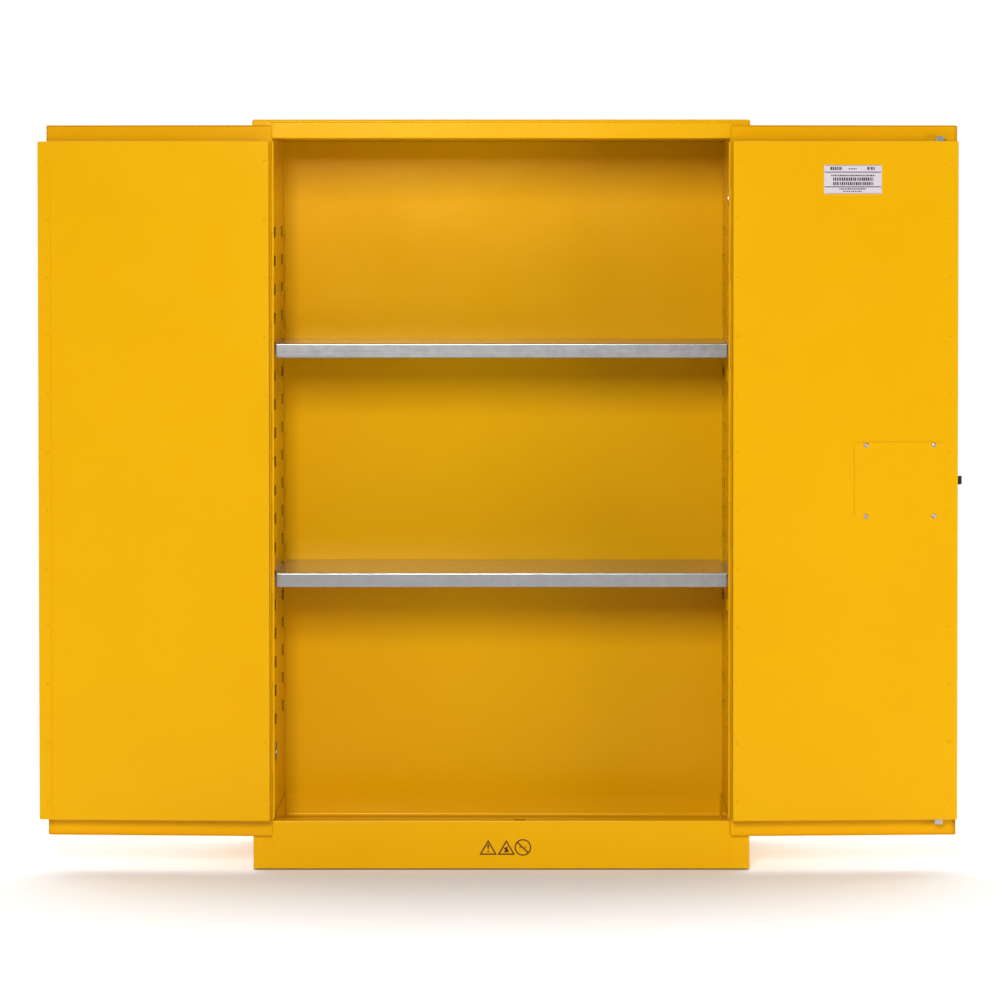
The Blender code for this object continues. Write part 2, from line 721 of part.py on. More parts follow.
def build_right_door(pivot, yellow, zinc, black, label):
    panel, pan = build_door("right", -1, RIGHT_DOOR_REACH, pivot, yellow)
    for name, z in (("top_rod_hole", PAN_HIGH), ("bottom_rod_hole", PAN_LOW)):
        across, deep = ROD_SLOT_HALF
        cut(pan, door_box(name, -1, (ROD_U - across, ROD_U + across),
                          (ROD_W - deep, ROD_W + deep), (z - THROUGH, z + THROUGH), None, pivot))
    half_u, half_z = ACCESS_HALF
    access = door_box("access_cutter", -1, (COVER_U - half_u, COVER_U + half_u),
                      (PAN_FACE - THROUGH, PAN_FACE + THROUGH),
                      (COVER_Z - half_z, COVER_Z + half_z), None, pivot)
    cut(pan, access)
    build_cover(pan, pivot, yellow, zinc)
    start = PAN_FACE + GAP
    door_box("data_label", -1, LABEL_U, (start, start + LABEL_THICK), LABEL_Z, label, pivot)
    build_handle(panel, pivot, zinc, black)
    build_latch(pivot, zinc, black)


def build_cover(pan, pivot, yellow, zinc):
    """The plate over the latch works, held by four screws."""
    half_u, half_z = COVER_SCREW_U + COVER_MARGIN_U, COVER_SCREW_Z + COVER_MARGIN_Z
    start = PAN_FACE + GAP
    outline = [(-COVER_U + u, COVER_Z + z) for u, z in rounded_box(half_u, half_z, COVER_CORNER)]
    plate = prism_mesh(outline, "Y", start, start + COVER_SHEET)
    plate = add_object("latch_cover_plate", plate, yellow, pivot)
    spots = [(u, z) for z in (COVER_Z - COVER_SCREW_Z, COVER_Z + COVER_SCREW_Z)
             for u in (COVER_U - COVER_SCREW_U, COVER_U + COVER_SCREW_U)]
    seat = start + COVER_SHEET + GAP
    tip = PAN_FACE - SCREW_LENGTH
    screw = [(0, tip), (SCREW_R, tip), (SCREW_R, seat)]
    screw += [(radius, seat + rise) for radius, rise in SCREW_HEAD]
    hole = rod_profile(SCREW_HOLE, PAN_FACE - THROUGH, PAN_FACE + THROUGH)
    for number, (u, z) in enumerate(spots, 1):
        cutter = turned_mesh(hole, "Y", (-u, 0, z), SMALL_STEPS)
        cutter = add_object(f"screw_hole_{number}", cutter, None, pivot)
        cut(plate, cutter)
        cut(pan, cutter)
        head = turned_mesh(screw, "Y", (-u, 0, z), SMALL_STEPS)
        smooth(add_object(f"cover_screw_{number}", head, zinc, pivot))


def rounded_box(half_a, half_b, radius, steps=3):
    """The outline of a rectangle with rounded corners."""
    points = []
    for turn, (side_a, side_b) in enumerate(((1, 1), (-1, 1), (-1, -1), (1, -1))):
        middle = (side_a * (half_a - radius), side_b * (half_b - radius))
        for step in range(steps + 1):
            offset = polar(radius, 90 * (turn + step / steps))
            points.append((middle[0] + offset[0], middle[1] + offset[1]))
    return points


def build_handle(panel, pivot, zinc, black):
    """A recessed cup with a pull paddle, and a key cylinder below it."""
    u = (CUP_U - CUP_HALF_U, CUP_U + CUP_HALF_U)
    z = (CUP_Z - CUP_HALF_Z, CUP_Z + CUP_HALF_Z)
    cut(panel, door_box("cup_cutter", -1, (u[0] - GAP, u[1] + GAP), (-THROUGH, THROUGH),
                        (z[0] - GAP, z[1] + GAP), None, pivot))
    front = PANEL_FACE - GAP
    flange = front - CUP_FLANGE
    cup = door_box("handle_cup", -1, (u[0] - CUP_RIM, u[1] + CUP_RIM), (flange, front),
                   (z[0] - CUP_RIM, z[1] + CUP_RIM), black, pivot)
    body = door_box("cup_body", -1, u, (front - CUP_FLANGE / 2, CUP_FLOOR), z, None, pivot)
    cut(cup, body, "UNION")
    cut(cup, door_box("cup_hollow", -1, (u[0] + CUP_WALL, u[1] - CUP_WALL),
                      (flange - THROUGH, CUP_FLOOR - CUP_WALL),
                      (z[0] + CUP_WALL, z[1] - CUP_WALL), None, pivot))
    build_paddle(cup, pivot, black)
    edge = 0.001
    bezel = [(0, LOCK_FACE), (LOCK_BEZEL - edge, LOCK_FACE), (LOCK_BEZEL, LOCK_FACE + edge),
             (LOCK_BEZEL, front), (LOCK_BARREL, front), (LOCK_BARREL, LOCK_TAIL), (0, LOCK_TAIL)]
    hole = turned_mesh(rod_profile(LOCK_HOLE, -THROUGH, THROUGH), "Y", (-CUP_U, 0, LOCK_Z))
    cut(panel, add_object("lock_hole", hole, None, pivot))
    key_axis = make_pivot("key_axis", (-CUP_U, 0, LOCK_Z), parent=pivot)
    lock = add_object("lock_cylinder", turned_mesh(bezel, "Y", (0, 0, 0)), zinc, key_axis)
    half_x, half_z = KEY_SLOT_HALF
    slot = box_mesh((-half_x, LOCK_FACE - THROUGH, -half_z), (half_x, KEY_SLOT_END, half_z))
    cut(lock, add_object("key_slot", slot, None, key_axis))
    smooth(lock)


def build_paddle(cup, pivot, black):
    """The paddle hangs on trunnions in the cup's cheeks; its lower edge swings outwards."""
    pivot_w, pivot_z = PADDLE_PIVOT
    axis = make_pivot("paddle_axis", (-CUP_U, pivot_w, pivot_z), parent=pivot)
    half = CUP_HALF_U - CUP_WALL - PADDLE_PLAY
    outline = [polar(PADDLE_BOSS, degrees) for degrees in range(-30, 151, 30)]
    outline += PADDLE_OUTLINE
    paddle = add_object("paddle_handle", prism_mesh(outline, "X", -half, half), black, axis)
    reach = CUP_HALF_U - PADDLE_PLAY / 2
    pin = turned_mesh(rod_profile(TRUNNION_R, -reach, reach), "X", (0, 0, 0), SMALL_STEPS)
    cut(paddle, add_object("paddle_trunnion", pin, None, axis), "UNION")
    wide = CUP_HALF_U + THROUGH
    hole = turned_mesh(rod_profile(TRUNNION_HOLE, -wide, wide), "X", (0, 0, 0), SMALL_STEPS)
    cut(cup, add_object("trunnion_hole", hole, None, axis))


def build_latch(pivot, zinc, black):
    """Base plate with its stud, the cam on it, two rods, their guides and the spring bolt."""
    base = door_box("latch_base_plate", -1, BASE_PLATE_U,
                    (PANEL_FACE + SHEET + GAP, STUD_FOOT + 0.001),
                    (LATCH_Z - BASE_PLATE_HALF, LATCH_Z + BASE_PLATE_HALF), zinc, pivot)
    stud = turned_mesh(STUD_PROFILE, "Y", (-ROD_U, 0, LATCH_Z), SMALL_STEPS)
    cut(base, add_object("cam_stud", stud, None, pivot), "UNION")
    cam_axis = make_pivot("cam_axis", (-ROD_U, 0, LATCH_Z), parent=pivot)
    cam = add_object("latch_cam", prism_mesh(cam_outline(), "Y", *CAM_W), zinc, cam_axis)
    bore = rod_profile(CAM_BORE, CAM_W[0] - THROUGH, CAM_W[1] + THROUGH)
    bore = turned_mesh(bore, "Y", (0, 0, 0), SMALL_STEPS)
    cut(cam, add_object("cam_bore", bore, None, cam_axis))
    for name, start, end in (("top_rod", LATCH_Z + ROD_CLEAR, ROD_HIGH),
                             ("bottom_rod", ROD_LOW, LATCH_Z - ROD_CLEAR)):
        axis = make_pivot(name + "_axis", (-ROD_U, ROD_W, 0), parent=pivot)
        profile = [(0, start), (ROD_R - ROD_TAPER, start), (ROD_R, start + ROD_TAPER),
                   (ROD_R, end - ROD_TAPER), (ROD_R - ROD_TAPER, end), (0, end)]
        rod = add_object(name, turned_mesh(profile, "Z", (0, 0, 0)), zinc, axis)
        across, deep = ROD_HEAD_HALF
        tip = (end - ROD_HEAD, end) if end == ROD_HIGH else (start, start + ROD_HEAD)
        head = prism_mesh(rod_head_outline(across, *tip), "Y", -deep, deep)
        cut(rod, add_object(name + "_head", head, None, axis), "UNION")
        smooth(rod, 50)
    for name, z in (("top_rod_guide", PAN_HIGH - GUIDE_INSET),
                    ("bottom_rod_guide", PAN_LOW + GUIDE_INSET)):
        guide = door_box(name, -1, (ROD_U - GUIDE_HALF_WIDTH, ROD_U + GUIDE_HALF_WIDTH),
                         (GUIDE_START, PAN_FACE - SHEET - GAP),
                         (z - GUIDE_HALF_HEIGHT, z + GUIDE_HALF_HEIGHT), black, pivot)
        bore = rod_profile(GUIDE_BORE, z - 2 * THROUGH, z + 2 * THROUGH)
        bore = turned_mesh(bore, "Z", (-ROD_U, ROD_W, 0))
        cut(guide, add_object(name + "_bore", bore, None, pivot))
    points = [(-u, w) for u, w in BOLT_OUTLINE]
    bolt = prism_mesh(points, "Z", LATCH_Z - BOLT_HALF, LATCH_Z + BOLT_HALF)
    add_object("latch_bolt", bolt, black, pivot)


def rod_head_outline(across, low, high):
    """The front view of the flat head on a rod's end, with its corners taken off."""
    edge = ROD_HEAD_CHAMFER
    return [(-across, low + edge), (-across + edge, low), (across - edge, low), (across, low + edge),
            (across, high - edge), (across - edge, high), (-across + edge, high),
            (-across, high - edge)]


def cam_outline():
    """A round hub with an ear above and below it."""
    points = []
    for start in (0, 180):
        points += [polar(CAM_HUB, start + angle) for angle in (-35, 0, 35)]
        tip = polar(CAM_REACH, start + 90)
        for angle in (0, 45, 90, 135, 180):
            offset = polar(CAM_EAR, start + angle)
            points.append((tip[0] + offset[0], tip[1] + offset[1]))
    return points


def polar(radius, degrees):
    return radius * math.cos(math.radians(degrees)), radius * math.sin(math.radians(degrees))


def main():
    for item in list(bpy.data.objects):
        bpy.data.objects.remove(item, do_unlink=True)
    yellow = make_material("yellow_powder_coat", (0.88, 0.43, 0.01), 0.35, 0.0)
    galvanised = make_material("galvanised_steel", (0.45, 0.45, 0.46), 0.40, 0.9)
    zinc = make_material("zinc_plated_steel", (0.62, 0.62, 0.62), 0.30, 1.0)
    black = make_material("black_plastic", (0.02, 0.02, 0.022), 0.45, 0.0)
    label = make_material("printed_label", (0.75, 0.72, 0.76), 0.50, 0.0)
    build_outer_shell(yellow)
    build_lining(yellow)
    build_vents(zinc, black)
    build_feet(zinc, black)
    build_shelves(galvanised)
    left = make_pivot("left_door_axis", (-HINGE_X, HINGE_Y, 0), -OPEN_ANGLE)
    right = make_pivot("right_door_axis", (HINGE_X, HINGE_Y, 0), OPEN_ANGLE)
    build_hinge("left", 1, left, yellow)
    build_hinge("right", -1, right, yellow)
    build_left_door(left, yellow)
    build_right_door(right, yellow, zinc, black, label)


main()
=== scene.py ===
"""Looks for the safety cabinet: powder coat, galvanised shelves, zinc hardware, plain studio."""

import json
import math
import random

import bmesh
import bpy
from mathutils import Matrix, Vector

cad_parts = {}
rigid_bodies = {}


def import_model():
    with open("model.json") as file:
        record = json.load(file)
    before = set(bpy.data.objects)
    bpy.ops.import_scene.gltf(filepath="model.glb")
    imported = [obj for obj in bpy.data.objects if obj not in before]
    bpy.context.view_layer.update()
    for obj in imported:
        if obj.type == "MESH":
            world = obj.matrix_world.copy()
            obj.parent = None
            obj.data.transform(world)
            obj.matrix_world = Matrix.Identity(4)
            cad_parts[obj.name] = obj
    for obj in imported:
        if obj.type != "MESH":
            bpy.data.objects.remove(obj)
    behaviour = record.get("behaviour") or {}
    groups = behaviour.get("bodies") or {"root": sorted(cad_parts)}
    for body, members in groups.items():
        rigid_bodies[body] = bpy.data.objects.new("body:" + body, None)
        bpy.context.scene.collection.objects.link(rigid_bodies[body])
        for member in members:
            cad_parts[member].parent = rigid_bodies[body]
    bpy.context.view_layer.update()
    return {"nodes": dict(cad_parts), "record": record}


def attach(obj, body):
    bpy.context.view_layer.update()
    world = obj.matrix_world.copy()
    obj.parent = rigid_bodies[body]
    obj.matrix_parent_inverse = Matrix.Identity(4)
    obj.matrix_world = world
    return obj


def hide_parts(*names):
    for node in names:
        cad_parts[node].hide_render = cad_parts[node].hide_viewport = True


for item in list(bpy.data.objects):
    bpy.data.objects.remove(item, do_unlink=True)
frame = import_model()
NODES = frame["nodes"]


# ---------------------------------------------------------------- node helpers

class Shader:
    """A material with a Principled shader and short calls for the nodes around it."""

    def __init__(self, name, **settings):
        self.material = bpy.data.materials.new(name)
        self.material.use_nodes = True
        self.tree = self.material.node_tree
        self.shader = self.tree.nodes["Principled BSDF"]
        self.coords = self.tree.nodes.new("ShaderNodeTexCoord").outputs["Object"]
        for key, value in settings.items():
            self.shader.inputs[key.replace("_", " ")].default_value = value

    def node(self, kind, **links):
        """Adds a node; a link may be a number, a colour or another node's output.

        A key is an input's name with underscores for spaces, or "_" and its number.
        """
        made = self.tree.nodes.new(kind)
        for key, value in links.items():
            name = int(key[1:]) if key[0] == "_" else key.replace("_", " ")
            self.join(value, made.inputs[name])
        return made

    def join(self, value, socket):
        if isinstance(value, bpy.types.NodeSocket):
            self.tree.links.new(value, socket)
        else:
            socket.default_value = value

    def stretched(self, scale):
        return self.node("ShaderNodeMapping", Vector=self.coords, Scale=scale).outputs["Vector"]

    def noise(self, scale, detail, coords=None):
        made = self.node("ShaderNodeTexNoise", Vector=coords or self.coords, Scale=scale,
                         Detail=detail)
        return made.outputs["Fac"]

    def math(self, operation, first, second=0.0):
        made = self.node("ShaderNodeMath", _0=first, _1=second)
        made.operation = operation
        return made.outputs[0]

    def span(self, value, low, high, to_low=0.0, to_high=1.0):
        made = self.node("ShaderNodeMapRange", Value=value, From_Min=low, From_Max=high,
                         To_Min=to_low, To_Max=to_high)
        made.clamp = True
        return made.outputs["Result"]

    def mix(self, amount, first, second):
        """Mixes two colours; the sockets' names repeat for each type, so they go by number."""
        made = self.tree.nodes.new("ShaderNodeMix")
        made.data_type = "RGBA"
        self.join(amount, made.inputs[0])
        self.join(first, made.inputs[6])
        self.join(second, made.inputs[7])
        return made.outputs[2]

    def bump(self, height, strength, distance, below=None):
        made = self.node("ShaderNodeBump", Height=height, Strength=strength, Distance=distance)
        if below:
            self.join(below, made.inputs["Normal"])
        return made.outputs["Normal"]

    def set(self, **links):
        for key, value in links.items():
            self.join(value, self.shader.inputs[key.replace("_", " ")])
        return self.material


# ---------------------------------------------------------------- materials

YELLOW = (0.720, 0.370, 0.0020, 1)
YELLOW_DEEP = (0.700, 0.355, 0.0018, 1)
YELLOW_SPECK = (0.78, 0.41, 0.004, 1)
YELLOW_SHEEN = (1.0, 0.62, 0.15, 1)
ZINC_DARK = (0.350, 0.345, 0.345, 1)
ZINC_LIGHT = (0.373, 0.369, 0.368, 1)
ZINC_STAIN = (0.341, 0.341, 0.344, 1)
PLATE_BLUE = (0.42, 0.42, 0.44, 1)
PLATE_GOLD = (0.50, 0.48, 0.43, 1)
BLACK_DEEP = (0.004, 0.004, 0.0043, 1)
BLACK_PALE = (0.008, 0.008, 0.0085, 1)
BLACK_ROUGHNESS = (0.49, 0.63)
FILM_DARK = (0.52, 0.47, 0.50, 1)
FILM_LIGHT = (0.58, 0.53, 0.56, 1)
LABEL_INK = (0.035, 0.032, 0.05, 1)
BASE_INK = (0.085, 0.024, 0.002, 1)
INK_KEPT = 0.90
INK_PALED = 0.02
# The screen's ground is painted shade: near black where the openings would show the dark vent
# behind.
SCREEN_OPENING_SHADE = (0.02, 0.02, 0.02, 1)
SCREEN_WIRE = (0.35, 0.35, 0.34, 1)
SCREEN_WAVES = 2400


def powder_coat():
    """Satin powder coat: a fine orange peel, faint cloudiness and a few dull patches."""
    mat = Shader("powder_coat_yellow", Specular_IOR_Level=0.36, Specular_Tint=YELLOW_SHEEN)
    cloud = mat.span(mat.noise(2.3, 3), 0.35, 0.65)
    speck = mat.span(mat.noise(900, 1), 0.62, 0.75, 0, 0.10)
    tint = mat.mix(speck, mat.mix(cloud, YELLOW_DEEP, YELLOW), YELLOW_SPECK)
    peel = mat.noise(520, 2)
    wave = mat.noise(60, 2)
    normal = mat.bump(peel, 0.10, 0.0004, mat.bump(wave, 0.05, 0.002))
    rough = mat.span(mat.noise(7, 4), 0.3, 0.7, 0.17, 0.23)
    return mat.set(Base_Color=tint, Roughness=rough, Normal=normal)


def galvanised():
    """Skin-passed zinc sheet: faint spangle, drawn sheen and a few dull clouds."""
    mat = Shader("galvanised_sheet", Metallic=0.68)
    cells = mat.node("ShaderNodeTexVoronoi", Vector=mat.coords, Scale=85.0)
    tone = mat.node("ShaderNodeRGBToBW", Color=cells.outputs["Color"]).outputs["Val"]
    stain = mat.noise(4, 4)
    drawn = mat.noise(1.0, 3, coords=mat.stretched((3, 260, 260)))
    grey = mat.mix(mat.span(tone, 0.2, 0.8), ZINC_DARK, ZINC_LIGHT)
    grey = mat.mix(mat.span(stain, 0.45, 0.75, 0, 0.5), grey, ZINC_STAIN)
    rough = mat.math("ADD", mat.span(tone, 0.1, 0.9, 0.19, 0.21),
                     mat.span(drawn, 0.3, 0.7, 0.0, 0.03))
    return mat.set(Base_Color=grey, Roughness=rough, Normal=mat.bump(drawn, 0.04, 0.0002))


def zinc_plate():
    """Bright zinc with a faint blue-gold passivation and fine drawing lines."""
    mat = Shader("zinc_plate", Metallic=1.0)
    tone = mat.noise(38, 3)
    colour = mat.mix(mat.span(tone, 0.35, 0.65), PLATE_BLUE, PLATE_GOLD)
    lines = mat.noise(1.0, 2, coords=mat.stretched((900, 900, 40)))
    rough = mat.span(lines, 0.3, 0.7, 0.20, 0.34)
    return mat.set(Base_Color=colour, Roughness=rough, Normal=mat.bump(lines, 0.08, 0.0002))


def black_plastic():
    """Moulded nylon with a fine leather-like grain."""
    mat = Shader("black_moulding", Specular_IOR_Level=0.12)
    grain = mat.node("ShaderNodeTexVoronoi", Vector=mat.coords, Scale=900.0)
    cloud = mat.span(mat.noise(30, 3), 0.3, 0.7)
    colour = mat.mix(cloud, BLACK_DEEP, BLACK_PALE)
    rough = mat.span(mat.noise(60, 3), 0.3, 0.7, *BLACK_ROUGHNESS)
    normal = mat.bump(grain.outputs["Distance"], 0.25, 0.0002)
    return mat.set(Base_Color=colour, Roughness=rough, Normal=normal)


def printed_label():
    """Pale lacquered film with a faint fibre."""
    mat = Shader("label_film", Coat_Weight=0.4, Coat_Roughness=0.15)
    fibre = mat.span(mat.noise(350, 3), 0.3, 0.7)
    colour = mat.mix(fibre, FILM_DARK, FILM_LIGHT)
    return mat.set(Base_Color=colour, Roughness=0.45, Normal=mat.bump(fibre, 0.05, 0.0001))


def printed_ink(name, colour):
    """Matt ink, a little worn here and there."""
    mat = Shader(name, Specular_IOR_Level=0.15)
    wear = mat.span(mat.noise(600, 3), 0.35, 0.75, 0, 0.25)
    faded = tuple(INK_KEPT * part + INK_PALED for part in colour[:3]) + (1,)
    return mat.set(Base_Color=mat.mix(wear, colour, faded), Roughness=0.5,
                   Normal=mat.bump(mat.noise(900, 1), 0.05, 0.0001))


def wire_mesh():
    """Woven stainless screen: crossed wires in relief over a near-black ground, painted shade
    where the openings show the dark vent behind.
    """
    mat = Shader("flame_screen", Metallic=0.9)
    axes = mat.node("ShaderNodeSeparateXYZ", Vector=mat.coords)
    turns = [mat.math("MULTIPLY", axes.outputs[axis], SCREEN_WAVES) for axis in ("Y", "Z")]
    waves = [mat.math("ABSOLUTE", mat.math("SINE", turn)) for turn in turns]
    wires = mat.math("MAXIMUM", *waves)
    colour = mat.mix(mat.span(wires, 0.6, 0.9), SCREEN_OPENING_SHADE, SCREEN_WIRE)
    return mat.set(Base_Color=colour, Roughness=0.4, Normal=mat.bump(wires, 0.6, 0.0006))


COAT = powder_coat()
GALVANISED = galvanised()
ZINC = zinc_plate()
BLACK = black_plastic()
LABEL = printed_label()
SCREEN = wire_mesh()
INK = printed_ink("label_print", LABEL_INK)
MARK = printed_ink("base_print", BASE_INK)
SLOT_MATERIALS = {"yellow_powder_coat": COAT, "galvanised_steel": GALVANISED,
                  "zinc_plated_steel": ZINC, "black_plastic": BLACK, "printed_label": LABEL}


# ---------------------------------------------------------------- CAD nodes

def smoothing_group():
    """A geometry-nodes group that only shades smooth."""
    group = bpy.data.node_groups.new("shade_smooth", "GeometryNodeTree")
    group.interface.new_socket("Geometry", in_out="INPUT", socket_type="NodeSocketGeometry")
    group.interface.new_socket("Geometry", in_out="OUTPUT", socket_type="NodeSocketGeometry")
    start = group.nodes.new("NodeGroupInput")
    smooth = group.nodes.new("GeometryNodeSetShadeSmooth")
    end = group.nodes.new("NodeGroupOutput")
    group.links.new(start.outputs[0], smooth.inputs[0])
    group.links.new(smooth.outputs[0], end.inputs[0])
    return group


SMOOTHING = smoothing_group()
WELD_DISTANCE = 0.00001
SHARP_ANGLE = math.radians(32)
EDGE = 0.0003
WIDE_EDGES = {"handle_cup": 0.0012, "paddle_handle": 0.0009, "lower_vent_cap": 0.0008,
              "upper_vent_cap": 0.0008, "latch_bolt": 0.0010, "data_label": 0.0001,
              "latch_cover_plate": 0.0005}


def shade(piece, rounding=0):
    """Shades a piece's flats flat and its bends smooth, and rounds its sharp edges if asked to."""
    if rounding:
        join = piece.modifiers.new("Weld", "WELD")
        join.merge_threshold = WELD_DISTANCE
    smooth = piece.modifiers.new("Smooth", "NODES")
    smooth.node_group = SMOOTHING
    if rounding:
        edges = piece.modifiers.new("Edges", "BEVEL")
        edges.width = rounding
        edges.segments = 2
        edges.limit_method = "ANGLE"
        edges.angle_limit = SHARP_ANGLE
        edges.use_clamp_overlap = True
    normals = piece.modifiers.new("Normals", "WEIGHTED_NORMAL")
    normals.weight = 100
    normals.keep_sharp = True


def dress_cad_nodes():
    """Gives every CAD node its material and rounded edges."""
    slots = {part["node"]: part["material_slot"] for part in frame["record"]["subparts"]}
    special = {"lower_flame_arrester": SCREEN, "upper_flame_arrester": SCREEN}
    for name, node in NODES.items():
        material = special.get(name, SLOT_MATERIALS[slots[name]])
        node.data.materials.clear()
        node.data.materials.append(material)
        shade(node, WIDE_EDGES.get(name, EDGE))


dress_cad_nodes()


# ---------------------------------------------------------------- pieces

FRONT_Y = -0.204129
HINGE_X = 0.501
HINGE_Y = -0.211129
OPEN_ANGLE = math.radians(183)
CABINET = Matrix.Translation((0, FRONT_Y, 0))
LEFT_DOOR = Matrix.Translation((-HINGE_X, HINGE_Y, 0)) @ Matrix.Rotation(-OPEN_ANGLE, 4, "Z")
RIGHT_DOOR = Matrix.Translation((HINGE_X, HINGE_Y, 0)) @ Matrix.Rotation(OPEN_ANGLE, 4, "Z")


def add_piece(name, mesh, material, body, place=CABINET):
    """A closed mesh, placed in the row's frame and riding on one body."""
    bmesh.ops.recalc_face_normals(mesh, faces=mesh.faces)
    data = bpy.data.meshes.new(name)
    mesh.to_mesh(data)
    mesh.free()
    data.materials.append(material)
    piece = bpy.data.objects.new(name, data)
    piece.matrix_world = place
    bpy.context.collection.objects.link(piece)
    shade(piece)
    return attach(piece, body)


def add_box(mesh, low, high):
    """A box between two corners, given in either order."""
    low, high = [min(pair) for pair in zip(low, high)], [max(pair) for pair in zip(low, high)]
    middle = [(a + b) / 2 for a, b in zip(low, high)]
    size = [b - a for a, b in zip(low, high)]
    bmesh.ops.create_cube(mesh, size=1,
                          matrix=Matrix.Translation(middle) @ Matrix.Diagonal((*size, 1)))


def add_dome(mesh, middle, radii, segments=16, rings=8):
    """An ellipsoid, half of it sunk in the surface it marks."""
    bmesh.ops.create_uvsphere(mesh, u_segments=segments, v_segments=rings, radius=1,
                              matrix=Matrix.Translation(middle) @ Matrix.Diagonal((*radii, 1)))


def add_prism(mesh, outline, start, end):
    """An outline of (x, z) points, extruded along Y."""
    rings = [[mesh.verts.new((x, y, z)) for x, z in outline] for y in (start, end)]
    mesh.faces.new(rings[0])
    mesh.faces.new(rings[1])
    for index in range(len(outline)):
        after = (index + 1) % len(outline)
        mesh.faces.new((rings[0][index], rings[0][after], rings[1][after], rings[1][index]))


def add_ring(mesh, outer, inner, start, end):
    """A closed band between two outlines of the same count, extruded along Y."""
    loops = [[mesh.verts.new((x, y, z)) for x, z in line]
             for line, y in ((outer, start), (inner, start), (inner, end), (outer, end))]
    count = len(outer)
    for index in range(count):
        after = (index + 1) % count
        for first, second in zip(loops, loops[1:] + loops[:1]):
            mesh.faces.new((first[index], first[after], second[after], second[index]))


def polygon(middle, radius, corners):
    """The (x, z) corners of a regular polygon with one corner straight up."""
    angles = [math.radians(90 + 360 * step / corners) for step in range(corners)]
    return [(middle[0] + radius * math.cos(angle), middle[1] + radius * math.sin(angle))
            for angle in angles]


def shifted(outline, middle):
    return [(middle[0] + x, middle[1] + z) for x, z in outline]


# ---------------------------------------------------------------- welds and seams

JAMB_X = 0.5015
OPENING_LOW = 0.109
OPENING_HIGH = 1.609
SKIRT_Z = 0.003
LID_SEAM = 1.64485
LID_FILL_REACH = 0.541
LID_FILL_HALF = 0.0009
FILL_FACE = 0.00004
FILL_BACK = 0.0022
FILL_SPAN = (JAMB_X - 0.0012, JAMB_X + 0.0030)
FILL_SKIP = 0.0016


def fill_seams():
    """Ground and painted welds where the header and the sill meet the stiles and the lid."""
    mesh = bmesh.new()
    add_box(mesh, (-LID_FILL_REACH, FILL_FACE, LID_SEAM - LID_FILL_HALF),
            (LID_FILL_REACH, FILL_BACK, LID_SEAM + LID_FILL_HALF))
    for side in (-1, 1):
        near, far = side * FILL_SPAN[0], side * FILL_SPAN[1]
        add_box(mesh, (near, FILL_FACE, OPENING_HIGH + FILL_SKIP), (far, FILL_BACK, LID_SEAM))
        add_box(mesh, (near, FILL_FACE, SKIRT_Z), (far, FILL_BACK, OPENING_LOW - FILL_SKIP))
    add_piece("front_seam_fill", mesh, COAT, "cabinet")


PAN_FACE = 0.042
STRIP_FACE = 0.0439
WELD_TOP = 1.558
WELD_PITCH = 0.1273
WELD_COUNT = 12
WELD_STRAY = 0.002
WELD_WIDTH = (0.0034, 0.0042)
WELD_RISE = 0.0021
WELD_HEIGHT = 0.0034
LEFT_DOOR_WELDS = ((0.012, PAN_FACE), (0.4905, STRIP_FACE))
RIGHT_DOOR_WELDS = ((0.0145, PAN_FACE), (0.4800, PAN_FACE))
WALL_WELD_COUNT = 11
WALL_WELD_LOW = 0.245
WALL_WELD_DEPTH = 0.178
WALL_WELD_RADII = (0.0010, 0.0040, 0.0040)
REAR_WELD_COUNT = 12
REAR_WELD_LOW = 0.12
REAR_WELD_PITCH = 0.127
REAR_WELD_X = 0.5385
REAR_FACE = 0.4572
REAR_WELD_RADII = (0.0040, 0.0010, 0.0040)


def mark_door_welds():
    """Spot welds along both upright edges of each inner pan."""
    doors = (("left_door", LEFT_DOOR, 1, LEFT_DOOR_WELDS),
             ("right_door", RIGHT_DOOR, -1, RIGHT_DOOR_WELDS))
    random.seed(7)
    for body, place, side, columns in doors:
        mesh = bmesh.new()
        for u, face in columns:
            for row in range(WELD_COUNT):
                z = WELD_TOP - WELD_PITCH * row + random.uniform(-WELD_STRAY, WELD_STRAY)
                wide = random.uniform(*WELD_WIDTH)
                add_dome(mesh, (side * u, face, z), (wide, WELD_RISE, WELD_HEIGHT))
        add_piece(f"{body}_weld_marks", mesh, COAT, body, place)


def mark_wall_welds():
    """Spot welds down the middle of each slotted wall and along the rear edges outside."""
    mesh = bmesh.new()
    for side in (-1, 1):
        for row in range(WALL_WELD_COUNT):
            z = WALL_WELD_LOW + WELD_PITCH * row
            add_dome(mesh, (side * JAMB_X, WALL_WELD_DEPTH, z), WALL_WELD_RADII, 12, 6)
        for row in range(REAR_WELD_COUNT):
            z = REAR_WELD_LOW + REAR_WELD_PITCH * row
            add_dome(mesh, (side * REAR_WELD_X, REAR_FACE, z), REAR_WELD_RADII, 12, 6)
    add_piece("wall_weld_marks", mesh, COAT, "cabinet")


fill_seams()
mark_door_welds()
mark_wall_welds()


# ---------------------------------------------------------------- screws

LATHE_STEPS = 32


def add_lathe(mesh, profile, middle):
    """Turns a (radius, y) profile about the Y direction through a point."""
    rings = []
    for radius, y in profile:
        ring = []
        for step in range(LATHE_STEPS if radius else 1):
            angle = 2 * math.pi * step / LATHE_STEPS
            ring.append(mesh.verts.new((middle[0] + radius * math.cos(angle), middle[1] + y,
                                        middle[2] + radius * math.sin(angle))))
        rings.append(ring)
    for first, second in zip(rings, rings[1:]):
        for step in range(LATHE_STEPS):
            after = (step + 1) % LATHE_STEPS
            corners = [first[step % len(first)], first[after % len(first)],
                       second[after % len(second)], second[step % len(second)]]
            mesh.faces.new(list(dict.fromkeys(corners)))


def mesh_data(mesh, name):
    """Turns a bmesh into mesh data with its normals outward."""
    bmesh.ops.recalc_face_normals(mesh, faces=mesh.faces)
    data = bpy.data.meshes.new(name)
    mesh.to_mesh(data)
    mesh.free()
    return data


